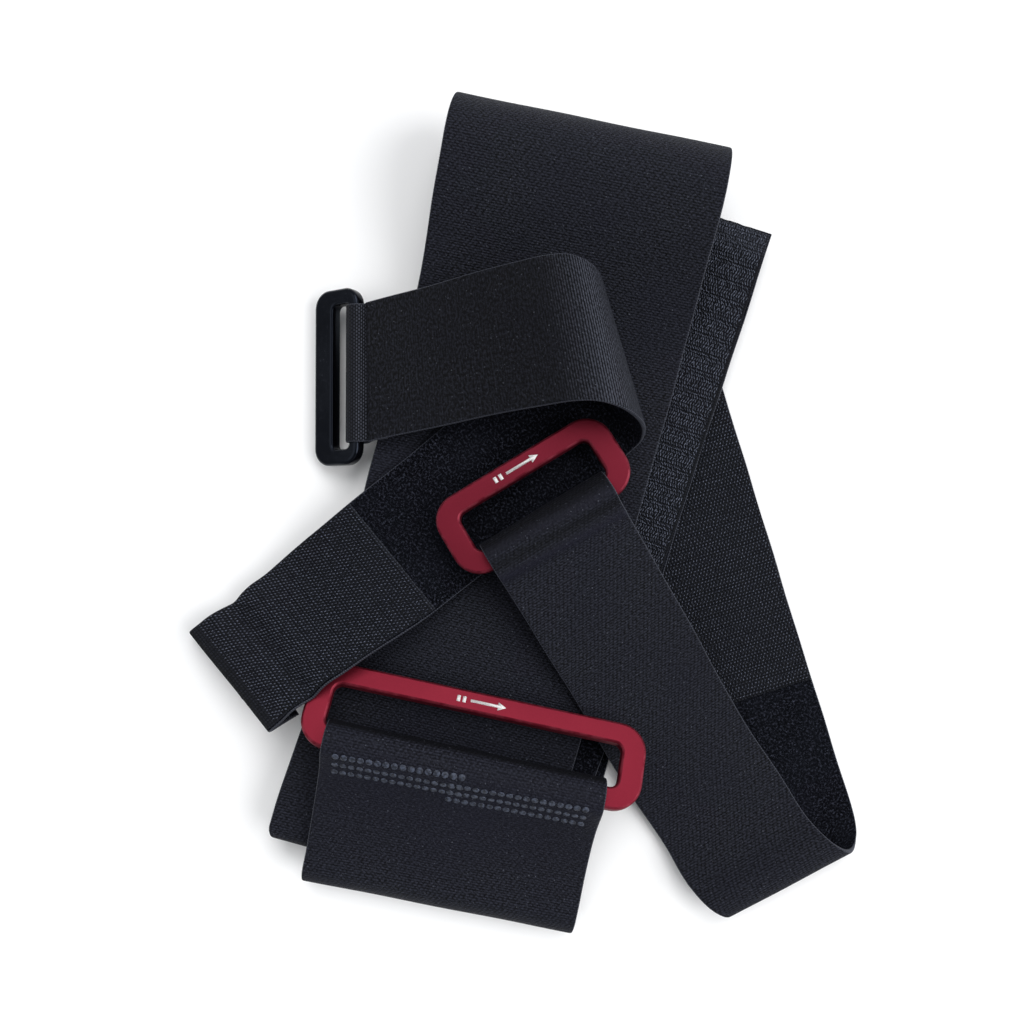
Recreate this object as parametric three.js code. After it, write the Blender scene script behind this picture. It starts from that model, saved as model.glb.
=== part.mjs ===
// Arm sling: three hook-and-loop straps, each with a ring at one end, folded in a pile on a table.
// Millimetres, +Z up. The origin is on the table, under the middle of the pile.
import * as THREE from 'three';

// Webbing
const WEB = 1.8; // thickness of the laminated loop webbing
const WIDE = 100; // width of the table strap
const NARROW = 50.5; // width of the arm strap and the cinch strap
const HOOK = 1.2; // thickness of the hook tape
const HOOK_INSET = 0.7; // the hook tape stops this far inside each strap edge
const HOOK_START = 2; // from the tail's hinge line to the start of its hook tape
const TABLE_HOOK_LENGTH = 148; // from the end of the table strap
const ARM_HOOK_LENGTH = 138; // from the end of the arm strap
const TAB = 1.1; // thickness of the tab that holds the buckle ring
const TAB_WIDTH = 50.4;
const GAP = 0.3; // clearance between pieces that lie on each other
const CUT = 0.4; // half of the gap at the cuts beside the cinch strap's tall fold
const HINGE_CUT = 0.9; // half of the gap at the hinge line of the cinch strap's tail
const GROUND = 0.94; // height of the middle of a strap that lies on the table

// Red rings
const RING_WIDTH = 30.5;
const RING_RAIL = 7.5; // width of the two long rails
const RING_THICK = 5.5;
const RING_BEVEL = 0.8;
const RING_CORNER = 10;
const SLOT_CORNER = 3;
const TABLE_RING_LENGTH = 122.5;
const TABLE_SLOT_LENGTH = 105.5;
const ARM_RING_LENGTH = 70.5;
const ARM_SLOT_LENGTH = 53.5;
const LOOP_RADIUS = 5.9; // middle of the webbing, round a ring's rail

// Buckle ring
const BUCKLE_LENGTH = 65.5;
const BUCKLE_THICK = 4.8;
const BUCKLE_RAIL = 4; // the rail inside the tab
const BUCKLE_GRIP = 9; // the free rail
const BUCKLE_REACH = 14.6; // from the middle of one rail to the middle of the other
const BUCKLE_SLOT_LENGTH = 53.7;
const BUCKLE_CORNER = 5;
const BUCKLE_SLOT_CORNER = 2;
const BUCKLE_BEVEL = 1;
const TAB_RADIUS = 3.5; // middle of the tab, round the rail

// Places of the hinge lines, each through the middle of the strap that holds the ring
const TABLE_BAR = { x: -20.3, y: -90.1, z: 25.3, angle: -12.1, slope: 24, ringShift: 1.2 };
const ARM_BAR = { x: 9.8, y: -4.4, z: 25, angle: 31.2, slope: 7.5, ringShift: 0 };
const BUCKLE_BAR = { x: -60.6, y: 50.6, z: 12.3, droop: 32, ringShift: -0.6 };

// The middle of the pile in the numbers above and below, which the origin is put under
const LAYOUT_CENTRE = { x: 0.729, y: -1.398 };

const radians = THREE.MathUtils.degToRad;

const fabric = (color) => new THREE.MeshStandardMaterial({ color, roughness: 0.92, metalness: 0 });
const NAVY = fabric(0x1b1d24);
const PLUSH = fabric(0x131419);
const SLATE = fabric(0x2a2d34);
const CRIMSON = new THREE.MeshStandardMaterial({ color: 0x8c2337, roughness: 0.42, metalness: 0.75 });
const BLACK = new THREE.MeshStandardMaterial({ color: 0x0d0d10, roughness: 0.22, metalness: 0 });

// A station is [x, y, z, angle, roll]: a point on the middle of the strap, the heading of the strap's width
// direction in degrees from +X, and how far that direction tips up, in degrees.

// Stations of a fold: half a circle in the upright plane that points out of the fold, from the lower side up
// (rise = 1) or from the upper side down (rise = -1), with a short level lead on each side of it.
const LEAD = 3;
function turn({ x, y, z, radius, out, rise = 1, angles, drift = 0, steps = 10 }) {
  const place = (reach, height, t) => {
    const angle = angles[0] + (angles[1] - angles[0]) * t;
    const side = drift * (t - 0.5);
    return [
      x + reach * Math.cos(radians(out)) + side * Math.cos(radians(angle)),
      y + reach * Math.sin(radians(out)) + side * Math.sin(radians(angle)),
      z + height,
      angle,
      0,
    ];
  };
  const stations = [];
  for (let i = 0; i <= steps; i += 1) {
    const lift = Math.PI * (i / steps - 0.5);
    stations.push(place(radius * Math.cos(lift), rise * radius * Math.sin(lift), i / steps));
  }
  return [place(-LEAD, -rise * radius, 0), ...stations, place(-LEAD, rise * radius, 1)];
}

// Centripetal Catmull-Rom curve through stations, with every value carried along.
function smooth(stations, step) {
  const last = stations.length - 1;
  const mirrored = (a, b) => a.map((value, i) => 2 * value - b[i]);
  const points = [mirrored(stations[0], stations[1]), ...stations, mirrored(stations[last], stations[last - 1])];
  const far = (a, b) => Math.hypot(a[0] - b[0], a[1] - b[1], a[2] - b[2]);
  const line = [];
  for (let span = 0; span < last; span += 1) {
    const [p0, p1, p2, p3] = points.slice(span, span + 4);
    const [d0, d1, d2] = [far(p0, p1), far(p1, p2), far(p2, p3)].map(Math.sqrt);
    const tangent = (a, b, c, before, after) =>
      b.map((value, i) => ((value - a[i]) / before - (c[i] - a[i]) / (before + after) + (c[i] - value) / after) * d1);
    const m1 = tangent(p0, p1, p2, d0, d1);
    const m2 = tangent(p1, p2, p3, d1, d2);
    const length = far(p1, p2);
    const count = Math.max(length > 2 ? 2 : 1, Math.ceil(length / step));
    for (let k = 0; k < count; k += 1) {
      const t = k / count;
      const [a, b, c, d] = [2 * t ** 3 - 3 * t * t + 1, t ** 3 - 2 * t * t + t, 3 * t * t - 2 * t ** 3, t ** 3 - t * t];
      line.push(p1.map((value, i) => a * value + b * m1[i] + c * p2[i] + d * m2[i]));
    }
  }
  line.push(stations[last]);
  return line;
}

// Middle points, width directions and face normals along a line of stations, with the length run so far.
function frames(line) {
  let run = 0;
  return line.map((station, i) => {
    const before = line[Math.max(i - 1, 0)];
    const after = line[Math.min(i + 1, line.length - 1)];
    const [x, y, z, angle, roll] = station;
    const [a, r] = [radians(angle), radians(roll)];
    const along = new THREE.Vector3(after[0] - before[0], after[1] - before[1], after[2] - before[2]).normalize();
    const across = new THREE.Vector3(Math.cos(a) * Math.cos(r), Math.sin(a) * Math.cos(r), Math.sin(r));
    const face = new THREE.Vector3().crossVectors(along, across).normalize();
    if (i > 0) run += Math.hypot(x - before[0], y - before[1], z - before[2]);
    return { middle: new THREE.Vector3(x, y, z), across, face, run };
  });
}

// The stretch of a strap from run `from` to run `to`, both in millimetres; a negative one counts from the end.
function stretch(strip, from, to) {
  const total = strip[strip.length - 1].run;
  const [start, end] = [from, to].map((value) => (value < 0 ? total + value : value));
  const at = (run) => {
    const i = Math.max(1, strip.findIndex((frame) => frame.run >= run));
    const [a, b] = [strip[i - 1], strip[i]];
    const t = (run - a.run) / (b.run - a.run);
    return {
      middle: a.middle.clone().lerp(b.middle, t),
      across: a.across.clone().lerp(b.across, t).normalize(),
      face: a.face.clone().lerp(b.face, t).normalize(),
      run,
    };
  };
  const inside = strip.filter((frame) => frame.run > start + 0.2 && frame.run < end - 0.2);
  return [at(start), ...inside, at(Math.min(end, total - 1e-6))];
}

// A closed ribbon: a flat rectangle swept along frames, moved off the middle by `offset` along the face normal.
function ribbon(strip, width, thickness, offset = 0) {
  const positions = [];
  for (const { middle, across, face } of strip) {
    for (const [side, level] of [[-1, -1], [1, -1], [1, 1], [-1, 1]]) {
      const point = middle.clone().addScaledVector(across, (side * width) / 2);
      positions.push(...point.addScaledVector(face, offset + (level * thickness) / 2).toArray());
    }
  }
  const index = [0, 2, 1, 0, 3, 2];
  for (let i = 0; i + 1 < strip.length; i += 1) {
    for (let k = 0; k < 4; k += 1) {
      const [a, b] = [4 * i + k, 4 * i + ((k + 1) % 4)];
      const split = k < 2 ? [a, b, b + 4, a, b + 4, a + 4] : [a, b, a + 4, b, b + 4, a + 4];
      index.push(...split);
    }
  }
  const end = 4 * (strip.length - 1);
  index.push(end, end + 1, end + 2, end, end + 2, end + 3);
  const geometry = new THREE.BufferGeometry();
  geometry.setAttribute('position', new THREE.Float32BufferAttribute(positions, 3));
  geometry.setIndex(index);
  return geometry;
}

// A rounded rectangle about a centre on the Y axis, as a shape or as a hole.
function rounded(path, length, width, corner, centreY = 0) {
  const [x, y] = [length / 2, width / 2];
  const arc = (cx, cy, start) =>
    path.absarc(cx, centreY + cy, corner, radians(start), radians(start + 90), false);
  path.moveTo(x, centreY - y + corner);
  arc(x - corner, y - corner, 0);
  arc(corner - x, y - corner, 90);
  arc(corner - x, corner - y, 180);
  arc(x - corner, corner - y, 270);
  return path;
}

// A flat ring with bevelled edges, its middle plane at z = 0.
function ring({ length, width, corner, slotLength, slotWidth, slotCorner, slotY = 0, thickness, bevel }) {
  const outline = rounded(new THREE.Shape(), length, width, corner);
  outline.holes.push(rounded(new THREE.Path(), slotLength, slotWidth, slotCorner, slotY));
  const geometry = new THREE.ExtrudeGeometry(outline, {
    depth: thickness - 2 * bevel,
    bevelThickness: bevel,
    bevelSize: bevel,
    bevelOffset: -bevel,
    bevelSegments: 1,
    curveSegments: 7,
  });
  return geometry.translate(0, 0, bevel - thickness / 2);
}

const pile = new THREE.Group();
pile.position.set(-LAYOUT_CENTRE.x, -LAYOUT_CENTRE.y, 0);

function add(name, geometry, material, parent = pile) {
  const mesh = new THREE.Mesh(geometry, material);
  mesh.name = name;
  parent.add(mesh);
  return mesh;
}

// Table strap: welded loop, top flap, bottom fold, bottom layer, tall top fold, big panel, low fold, hook end.
const tableLoopEnd = { out: 90 + TABLE_BAR.angle, angles: [TABLE_BAR.angle, TABLE_BAR.angle] };
const TABLE_ROUTE = [
  [-24.4, -110.2, 18.6, -12, 0],
  [-22.6, -101.5, 19.2, -12, 0],
  ...turn({ ...TABLE_BAR, ...tableLoopEnd, radius: LOOP_RADIUS }),
  [-22.6, -101.3, 24.6, -12, 0],
  [-24.4, -109.8, 20.9, -11.6, 0],
  [-27, -122, 18.2, -11.1, 0],
  ...turn({ x: -29.5, y: -135.7, z: GROUND + 8.1, radius: 8.1, out: -101.1, rise: -1, angles: [-11.1, -11.1] }),
  [-11.5, -62.6, GROUND, -11.1, 0],
  [6.5, 37.8, GROUND, -11.1, 0],
  ...turn({ x: 22.4, y: 124.3, z: GROUND + 16.5, radius: 16.5, out: 78.5, angles: [-11.1, -12] }),
  [18.6, 106, 29.8, -12, 0],
  [14.4, 87, 21, -12, 0],
  [10.2, 68.8, 14.8, -12, 0],
  [4, 45, 12.4, -12.2, 0],
  [-4.5, 14.4, 11.6, -12.5, 0],
  [-12, -15, 11.1, -13, 0],
  [-19.1, -44.1, 9.4, -13.5, 0],
  [-26, -70, 7.5, -14, 0],
  [-31.6, -89, 8.8, -14, 0],
  [-39.6, -113.5, 12.4, -14, 0],
  ...turn({ x: -41.4, y: -127.3, z: 8.2, radius: 5.1, out: -105.5, rise: -1, angles: [-14, -17.5], drift: 4 }),
  [-29.5, -108, 3.1, -18, 0],
  [-16.8, -75, 3.4, -18, 0],
  [-8, -48, 5.2, -18, 0],
  [0.4, -21.5, 6.8, -18, 0],
  [20, 39.6, 6.9, -18, 0],
  [45.8, 119, 7.7, -18, 0],
];

// Arm strap: welded loop, upper layer, open round fold, lower layer under the pile.
const armLoopEnd = { out: 90 + ARM_BAR.angle, angles: [ARM_BAR.angle, ARM_BAR.angle] };
const ARM_ROUTE = [
  [21.6, -23.4, 20.6, 31, 0],
  [16.8, -15.6, 20.3, 31, 0],
  ...turn({ ...ARM_BAR, ...armLoopEnd, radius: LOOP_RADIUS }),
  [15.6, -14, 25.6, 31, 0],
  [20.4, -22, 22.8, 31, 0],
  [36, -47.4, 15.2, 31, 0],
  [44.3, -61, 10.9, 31, 0],
  [53.3, -77.4, 7.6, 31, 0],
  [63.3, -93.9, 4.6, 31, 0],
  [75.4, -112.2, 4.2, 30, 0],
  [83.4, -125.2, 8.6, 29, 0],
  [90.4, -132.2, 12.9, 28.6, 0],
  [96.7, -135.6, 11.6, 28, 0],
  [100.3, -135.2, 7.2, 26, 0],
  [102, -130.6, 3, 22, 0],
  [101.4, -124, 1.8, 18.5, 0],
  [99.8, -117, 1.1, 17, 0],
  [92, -92, GROUND, 17, 0],
  [80, -53.5, 1.3, 17, 0],
  [72.2, -28, 2.9, 17, 0],
  [66, -8, 3.15, 17, 0],
  [44.5, 62, 3.15, 17, 0],
];

// Cinch strap: buckle end, arched flap, tall fold, lower layer, lifted tail with its end turned under.
const CREST = [21, 61.4, 42.6, 101.5, 1];
const FOLD_FOOT = [28.4, 44.4, 17, 117, 4.5];
const TAIL_HINGE = [-45.3, -15, 14.6, 129.5, -2];
const TURN_UNDER = [-105.6, -60.4, 14.8, 135, -18.5];
const CINCH_ROUTE = [
  [-56, 50.6, 17.7, 91, 0],
  [-37.5, 54.2, 20.6, 94, 0],
  [-18.1, 57.8, 26.8, 97, 0],
  [1.7, 60.8, 35.4, 99.5, 0],
  [13, 61.8, 40.6, 100.5, 0],
  CREST,
  [29.4, 58.8, 39.6, 103.5, 2],
  [34.8, 54.4, 30.8, 107, 3],
  [34.2, 49.4, 21.6, 111.5, 4.5],
  FOLD_FOOT,
  [17.6, 36, 15.7, 123, 3.5],
  [2, 23.4, 14.6, 127, 1],
  [-20, 5.5, 14.2, 128.8, 0],
  TAIL_HINGE,
  [-58, -24.6, 16.2, 130, -12],
  [-71, -34, 15.6, 131, -19],
  [-83, -43.2, 15.6, 132.5, -23],
  [-94.4, -52, 15.7, 134, -23],
  [-102.4, -58, 15.6, 135, -19.5],
  TURN_UNDER,
  [-106.6, -61.2, 12.6, 135, -17.5],
  [-104.8, -60.1, 10.5, 134, -17.5],
  [-99, -56.6, 10.0, 132, -18],
  [-96, -54.8, 10.1, 131, -18.5],
];

// Tab round the buckle ring's rail, both ends lying under the cinch strap's cut end.
const TAB_ROUTE = [
  [-54.6, 51.3, 13.2, 91.2, 0],
  ...turn({ ...BUCKLE_BAR, radius: TAB_RADIUS, out: 180, angles: [90, 90], steps: 8 }),
  [-49.5, 51.7, 16.6, 92, 0],
];

const strip = (route, step = 9) => frames(smooth(route, step));
const tableStrip = strip(TABLE_ROUTE);
const armStrip = strip(ARM_ROUTE);
const cinchStrip = strip(CINCH_ROUTE, 7);

// The hook tape lies on the plush face, which is the side away from the face normal.
const hookOffset = -(WEB / 2 + GAP + HOOK / 2);
const hookTape = (part, width) => ribbon(part, width - 2 * HOOK_INSET, HOOK, hookOffset);

add('table_strap', ribbon(tableStrip, WIDE, WEB), NAVY);
add('table_hook_tape', hookTape(stretch(tableStrip, -TABLE_HOOK_LENGTH, -HOOK_INSET), WIDE), SLATE);
add('arm_strap', ribbon(armStrip, NARROW, WEB), NAVY);
add('arm_hook_tape', hookTape(stretch(armStrip, -ARM_HOOK_LENGTH, -HOOK_INSET), NARROW), SLATE);

// The run at which a strip passes one of its stations.
function runAt(frameList, [x, y, z]) {
  const place = new THREE.Vector3(x, y, z);
  const distance = (frame) => frame.middle.distanceTo(place);
  return frameList.reduce((best, frame) => (distance(frame) < distance(best) ? frame : best)).run;
}

const [flapEnd, foldEnd, hingeRun, turnRun] = [CREST, FOLD_FOOT, TAIL_HINGE, TURN_UNDER].map((station) =>
  runAt(cinchStrip, station));
const cinchEnd = cinchStrip[cinchStrip.length - 1].run;
add('cinch_flap', ribbon(stretch(cinchStrip, 0, flapEnd - CUT), NARROW, WEB), NAVY);
add('cinch_fold', ribbon(stretch(cinchStrip, flapEnd + CUT, foldEnd - CUT), NARROW, WEB), NAVY);
add('cinch_base', ribbon(stretch(cinchStrip, foldEnd + CUT, hingeRun - HINGE_CUT), NARROW, WEB), PLUSH);
add('cinch_tail', ribbon(stretch(cinchStrip, hingeRun + HINGE_CUT, cinchEnd), NARROW, WEB), NAVY);
add('cinch_hook_tape', hookTape(stretch(cinchStrip, hingeRun + HOOK_START, turnRun), NARROW), SLATE);
add('buckle_tab', ribbon(strip(TAB_ROUTE, 5), TAB_WIDTH, TAB), SLATE);

// A red ring hangs on its rail: the group sits on the rail's middle and the ring reaches out of the loop.
function hangRing(name, bar, length, slotLength) {
  const hinge = new THREE.Group();
  hinge.position.set(bar.x, bar.y, bar.z);
  hinge.rotation.z = radians(bar.angle);
  pile.add(hinge);
  const shape = ring({
    length,
    width: RING_WIDTH,
    corner: RING_CORNER,
    slotLength,
    slotWidth: RING_WIDTH - 2 * RING_RAIL,
    slotCorner: SLOT_CORNER,
    thickness: RING_THICK,
    bevel: RING_BEVEL,
  });
  shape.translate(bar.ringShift, (RING_WIDTH - RING_RAIL) / 2, 0);
  const mesh = add(name, shape, CRIMSON, hinge);
  mesh.rotation.x = radians(-bar.slope);
}

hangRing('table_ring', TABLE_BAR, TABLE_RING_LENGTH, TABLE_SLOT_LENGTH);
hangRing('arm_ring', ARM_BAR, ARM_RING_LENGTH, ARM_SLOT_LENGTH);

// The buckle ring hangs the same way, its long side across the strap and its free rail drooping to the table.
const buckleHinge = new THREE.Group();
buckleHinge.position.set(BUCKLE_BAR.x, BUCKLE_BAR.y, BUCKLE_BAR.z);
buckleHinge.rotation.z = radians(90);
pile.add(buckleHinge);
const buckleWidth = BUCKLE_RAIL / 2 + BUCKLE_REACH + BUCKLE_GRIP / 2;
const buckleShape = ring({
  length: BUCKLE_LENGTH,
  width: buckleWidth,
  corner: BUCKLE_CORNER,
  slotLength: BUCKLE_SLOT_LENGTH,
  slotWidth: buckleWidth - BUCKLE_RAIL - BUCKLE_GRIP,
  slotCorner: BUCKLE_SLOT_CORNER,
  slotY: (BUCKLE_RAIL - BUCKLE_GRIP) / 2,
  thickness: BUCKLE_THICK,
  bevel: BUCKLE_BEVEL,
});
buckleShape.translate(BUCKLE_BAR.ringShift, (buckleWidth - BUCKLE_RAIL) / 2, 0);
const buckleRing = add('buckle_ring', buckleShape, BLACK, buckleHinge);
buckleRing.rotation.x = radians(-BUCKLE_BAR.droop);

export default pile;
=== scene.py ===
import math

import bpy
import numpy as np
from mathutils import Euler, Matrix, Vector


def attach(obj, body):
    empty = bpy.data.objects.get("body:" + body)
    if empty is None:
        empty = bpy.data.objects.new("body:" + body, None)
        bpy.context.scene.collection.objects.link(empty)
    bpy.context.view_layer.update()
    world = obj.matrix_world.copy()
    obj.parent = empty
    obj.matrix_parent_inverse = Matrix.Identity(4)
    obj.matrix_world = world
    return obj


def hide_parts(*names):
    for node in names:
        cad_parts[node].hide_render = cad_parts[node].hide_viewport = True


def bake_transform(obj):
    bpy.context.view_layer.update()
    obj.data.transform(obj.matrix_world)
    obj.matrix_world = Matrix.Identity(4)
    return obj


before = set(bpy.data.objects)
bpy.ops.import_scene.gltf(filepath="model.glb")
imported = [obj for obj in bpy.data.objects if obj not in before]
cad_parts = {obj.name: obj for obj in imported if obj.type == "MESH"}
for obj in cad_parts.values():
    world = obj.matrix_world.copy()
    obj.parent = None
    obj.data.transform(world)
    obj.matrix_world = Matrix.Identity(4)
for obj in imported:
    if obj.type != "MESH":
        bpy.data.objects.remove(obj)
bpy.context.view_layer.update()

# Lengths below are in millimetres, like the model's own numbers; MM turns them into metres.
MM = 0.001
CENTRE = np.array([0.729, -1.398, 0.0])  # the middle of the pile in the numbers below

# Webbing
WIDE = 100  # the table strap
NARROW = 50.5  # the arm strap and the cinch strap
WEB = 1.7  # thickness
HOOK_BASE = 0.55  # thickness of the backing of the hook tape
HOOK_TALL = 0.65  # height of a hook above its backing
HOOK_GAP = 0.28  # between the plush and the backing of the hook tape
HOOK_INSET = 0.7  # from the strap's edge to the tape's edge
HOOK_START = 2  # from the cinch strap's hinge to its hook tape
TAB = 1.1  # thickness of the buckle's tab
TAB_WIDTH = 50.4
GROUND = 0.94  # height of the middle of a strap that lies on the table

# Rings. A bar is the rail that a ring turns round: its middle, its heading, how far the ring slopes down
# from it, and how far the ring is off the strap's middle.
TABLE_RING_LONG = 122.5
ARM_RING_LONG = 70.5
RING_WIDTH = 30.5
RING_RAIL = 7.5
RING_SIDE = 8.5  # width of the two short sides
RING_THICK = 5.5
RING_CORNER = 10
RING_SLOT_CORNER = 3
RING_BEVEL = 0.7
LOOP_RADIUS = 5.9
TAB_RADIUS = 3.5
BUCKLE_LONG = 65.5
BUCKLE_SLOT = 53.7
BUCKLE_THICK = 4.8
BUCKLE_RAIL = 4
BUCKLE_GRIP = 9
BUCKLE_REACH = 14.6  # from the middle of the rail to the middle of the grip
BUCKLE_CORNER = 6.5
BUCKLE_SLOT_CORNER = 2
TABLE_BAR = dict(x=-20.3, y=-90.1, z=25.3, angle=-12.1, slope=24, shift=1.2)
ARM_BAR = dict(x=9.8, y=-4.4, z=25, angle=31.2, slope=7.5, shift=0)
BUCKLE_BAR = dict(x=-60.6, y=50.6, z=12.3, angle=90, slope=32, shift=-0.6)


# Strap routes. A station is x, y, z, and the heading and tip-up of the width direction in degrees.
LEAD = 3  # level run before and after a fold


def turn(at, radius, out, angles, rise=1, drift=0, steps=10):
    """Stations round a fold: half a circle, with a short level lead on each side."""
    def station(reach, height, t):
        angle = angles[0] + (angles[1] - angles[0]) * t
        side = drift * (t - 0.5)
        x = at[0] + reach * math.cos(math.radians(out)) + side * math.cos(math.radians(angle))
        y = at[1] + reach * math.sin(math.radians(out)) + side * math.sin(math.radians(angle))
        return [x, y, at[2] + height, angle, 0]

    stations = []
    for i in range(steps + 1):
        lift = math.pi * (i / steps - 0.5)
        stations.append(station(radius * math.cos(lift), rise * radius * math.sin(lift), i / steps))
    return [station(-LEAD, -rise * radius, 0), *stations, station(-LEAD, rise * radius, 1)]


def loop(bar):
    """Stations of a strap's welded loop round a ring's rail."""
    angle = bar["angle"]
    return turn((bar["x"], bar["y"], bar["z"]), LOOP_RADIUS, 90 + angle, (angle, angle))


TABLE_ROUTE = [
    [-24.4, -110.2, 18.6, -12, 0],
    [-22.6, -101.5, 19.2, -12, 0],
    *loop(TABLE_BAR),
    [-22.6, -101.3, 24.6, -12, 0],
    [-24.4, -109.8, 20.9, -11.6, 0],
    [-27, -122, 18.2, -11.1, 0],
    *turn((-29.5, -135.7, GROUND + 8.1), 8.1, -101.1, (-11.1, -11.1), rise=-1),
    [-11.5, -62.6, GROUND, -11.1, 0],
    [6.5, 37.8, GROUND, -11.1, 0],
    *turn((22.4, 124.3, GROUND + 16.5), 16.5, 78.5, (-11.1, -12)),
    [18.6, 106, 29.8, -12, 0],
    [14.4, 87, 21, -12, 0],
    [10.2, 68.8, 14.8, -12, 0],
    [4, 45, 12.4, -12.2, 0],
    [-4.5, 14.4, 11.6, -12.5, 0],
    [-12, -15, 11.1, -13, 0],
    [-19.1, -44.1, 9.4, -13.5, 0],
    [-26, -70, 7.5, -14, 0],
    [-31.6, -89, 8.8, -14, 0],
    [-39.6, -113.5, 12.4, -14, 0],
    *turn((-41.4, -127.3, 8.2), 5.1, -105.5, (-14, -17.5), rise=-1, drift=4),
    [-29.5, -108, 3.1, -18, 0],
    [-16.8, -75, 3.4, -18, 0],
    [-8, -48, 5.2, -18, 0],
    [0.4, -21.5, 6.8, -18, 0],
    [20, 39.6, 6.9, -18, 0],
    [45.8, 119, 7.7, -18, 0],
]
ARM_ROUTE = [
    [21.6, -23.4, 20.6, 31, 0],
    [16.8, -15.6, 20.3, 31, 0],
    *loop(ARM_BAR),
    [15.6, -14, 25.6, 31, 0],
    [20.4, -22, 22.8, 31, 0],
    [36, -47.4, 15.2, 31, 0],
    [44.3, -61, 10.9, 31, 0],
    [53.3, -77.4, 7.6, 31, 0],
    [63.3, -93.9, 4.6, 31, 0],
    [75.4, -112.2, 4.2, 30, 0],
    [83.4, -125.2, 8.6, 29, 0],
    [90.4, -132.2, 12.9, 28.6, 0],
    [96.7, -135.6, 11.6, 28, 0],
    [100.3, -135.2, 7.2, 26, 0],
    [102, -130.6, 3, 22, 0],
    [101.4, -124, 1.8, 18.5, 0],
    [99.8, -117, 1.1, 17, 0],
    [92, -92, GROUND, 17, 0],
    [80, -53.5, 1.3, 17, 0],
    [72.2, -28, 2.9, 17, 0],
    [66, -8, 3.15, 17, 0],
    [44.5, 62, 3.15, 17, 0],
]
FOLD_FOOT = [28.4, 44.4, 17, 117, 4.5]
TAIL_HINGE = [-45.3, -15, 14.6, 129.5, -2]
TURN_UNDER = [-105.6, -60.4, 14.8, 135, -18.5]
CINCH_ROUTE = [
    [-56, 50.6, 17.7, 91, 0],
    [-37.5, 54.2, 20.6, 94, 0],
    [-18.1, 57.8, 26.8, 97, 0],
    [1.7, 60.8, 35.4, 99.5, 0],
    [13, 61.8, 40.6, 100.5, 0],
    [21, 61.4, 42.6, 101.5, 1],
    [29.4, 58.8, 39.6, 103.5, 2],
    [34.8, 54.4, 30.8, 107, 3],
    [34.2, 49.4, 21.6, 111.5, 4.5],
    FOLD_FOOT,
    [17.6, 36, 15.7, 123, 3.5],
    [2, 23.4, 14.6, 127, 1],
    [-20, 5.5, 14.2, 128.8, 0],
    TAIL_HINGE,
    [-58, -24.6, 16.2, 130, -12],
    [-71, -34, 15.6, 131, -19],
    [-83, -43.2, 15.6, 132.5, -23],
    [-94.4, -52, 15.7, 134, -23],
    [-102.4, -58, 15.6, 135, -19.5],
    TURN_UNDER,
    [-106.6, -61.2, 12.6, 135, -17.5],
    [-104.8, -60.1, 10.5, 134, -17.5],
    [-99, -56.6, 10.0, 132, -18],
    [-96, -54.8, 10.1, 131, -18.5],
]
BUCKLE_AT = (BUCKLE_BAR["x"], BUCKLE_BAR["y"], BUCKLE_BAR["z"])
TAB_ROUTE = [
    [-54.6, 51.3, 13.2, 91.2, 0],
    *turn(BUCKLE_AT, TAB_RADIUS, 180, (90, 90), steps=8),
    [-49.5, 51.7, 16.6, 92, 0],
]


BEND_SPAN = 19  # samples over which a strap's bend is averaged


class Strip:
    """A strap's middle line with its width direction and face normal, by the length run so far."""

    def __init__(self, stations, step=1.0):
        line = self._smooth(np.array(stations, float), step)
        angle, roll = np.radians(line[:, 3]), np.radians(line[:, 4])
        self.middle = line[:, :3]
        hops = np.linalg.norm(np.diff(self.middle, axis=0), axis=1)
        self.run = np.concatenate([[0], np.cumsum(hops)])
        self.length = self.run[-1]
        self.along = unit(np.gradient(self.middle, self.run, axis=0))
        self.across = np.stack(
            [np.cos(angle) * np.cos(roll), np.sin(angle) * np.cos(roll), np.sin(roll)], axis=1
        )
        self.face = unit(np.cross(self.along, self.across))
        swing = np.linalg.norm(np.gradient(self.along, self.run, axis=0), axis=1)
        self.bend = np.convolve(swing, np.ones(BEND_SPAN) / BEND_SPAN, mode="same")

    @staticmethod
    def _smooth(stations, step):
        """Centripetal Catmull-Rom curve through the stations, with every value carried along."""
        first = 2 * stations[0] - stations[1]
        last = 2 * stations[-1] - stations[-2]
        points = np.vstack([first, stations, last])
        line = []
        for i in range(1, len(points) - 2):
            p0, p1, p2, p3 = points[i - 1:i + 3]
            hops = ((p0, p1), (p1, p2), (p2, p3))
            d0, d1, d2 = (math.sqrt(np.linalg.norm((end - start)[:3])) for start, end in hops)
            m1 = ((p1 - p0) / d0 - (p2 - p0) / (d0 + d1) + (p2 - p1) / d1) * d1
            m2 = ((p2 - p1) / d1 - (p3 - p1) / (d1 + d2) + (p3 - p2) / d2) * d1
            count = max(2, math.ceil(d1 * d1 / step))
            for t in np.arange(count) / count:
                a, b = 2 * t**3 - 3 * t * t + 1, t**3 - 2 * t * t + t
                line.append(a * p1 + b * m1 + (1 - a) * p2 + (t**3 - t * t) * m2)
        line.append(stations[-1])
        return np.array(line)

    def at(self, run):
        """Middles, width directions, face normals and bends at these runs."""
        run = np.clip(np.asarray(run, float), 0, self.length)

        def between(values):
            return np.stack([np.interp(run, self.run, column) for column in values.T], axis=-1)

        bend = np.interp(run, self.run, self.bend)
        return between(self.middle), unit(between(self.across)), unit(between(self.face)), bend

    def run_at(self, station):
        """The run at which the strap passes this station."""
        return self.run[np.argmin(np.linalg.norm(self.middle - np.array(station[:3]), axis=1))]


def unit(vectors):
    return vectors / np.linalg.norm(vectors, axis=-1, keepdims=True)


def metres(points):
    """Layout millimetres in the frame's own metres."""
    return (np.asarray(points, float) - CENTRE) * MM


def place(x, y, z):
    return tuple(metres([x, y, z]))


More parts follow.
